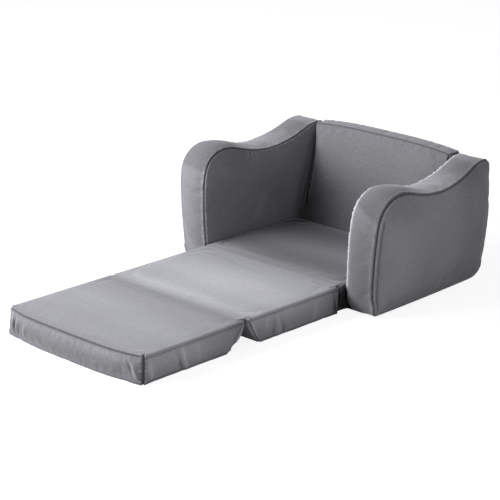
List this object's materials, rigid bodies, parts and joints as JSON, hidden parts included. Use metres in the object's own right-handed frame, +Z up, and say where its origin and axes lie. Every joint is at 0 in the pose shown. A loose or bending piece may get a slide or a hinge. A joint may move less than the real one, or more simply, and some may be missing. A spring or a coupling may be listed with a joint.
{
  "type": "child's flip open sofa",
  "caption": "Low foam sofa for a child in grey velvet, with shaped arms and a reclined back, flipped open into a floor mattress hinged to its seat.",
  "frame": {"origin": "on the floor, under the middle of the body between the arms' fronts and backs", "axes": "+X to the right as seen from the front, +Y to the back, +Z up"},
  "size_m": [0.7464, 1.2226, 0.3536],
  "materials": {
    "velvet": "short-pile grey velvet, matt with a soft sheen",
    "foam": "open-cell polyurethane foam",
    "zip_tape": "woven zip tape with moulded teeth",
    "zip_metal": "nickel-plated zip slider",
    "base_cloth": "black non-woven cloth with rubber grip dots"
  },
  "bodies": {
    "sofa_body": {"left_arm_cover": "velvet", "left_arm_foam": "foam", "left_arm_zip": "zip_tape", "left_arm_slider": "zip_metal", "right_arm_cover": "velvet", "right_arm_foam": "foam", "right_arm_zip": "zip_tape", "right_arm_slider": "zip_metal", "backrest_cover": "velvet", "backrest_foam": "foam", "backrest_zip": "zip_tape", "backrest_slider": "zip_metal", "seat_cover": "velvet", "seat_foam": "foam", "seat_zip": "zip_tape", "seat_slider": "zip_metal", "seat_hinge_rear": "velvet", "base_cloth": "base_cloth"},
    "middle_section": {"middle_cover": "velvet", "middle_foam": "foam", "middle_zip": "zip_tape", "middle_slider": "zip_metal", "seat_hinge_front": "velvet", "end_hinge_rear": "velvet"},
    "end_section": {"end_cover": "velvet", "end_foam": "foam", "end_zip": "zip_tape", "end_slider": "zip_metal", "end_hinge_front": "velvet"}
  },
  "joints": [
    {"name": "middle_fold", "type": "hinge", "parent": "sofa_body", "child": "middle_section", "pos_m": [0, -0.255, 0.0768], "axis": [-1, 0, 0], "range_deg": [0, 180]},
    {"name": "end_fold", "type": "hinge", "parent": "middle_section", "child": "end_section", "pos_m": [0, -0.601, 0.0768], "axis": [1, 0, 0], "range_deg": [0, 70]}
  ],
  "couplings": [
    {"joint": "end_fold", "follows": "middle_fold", "ratio": 0.3888}
  ]
}
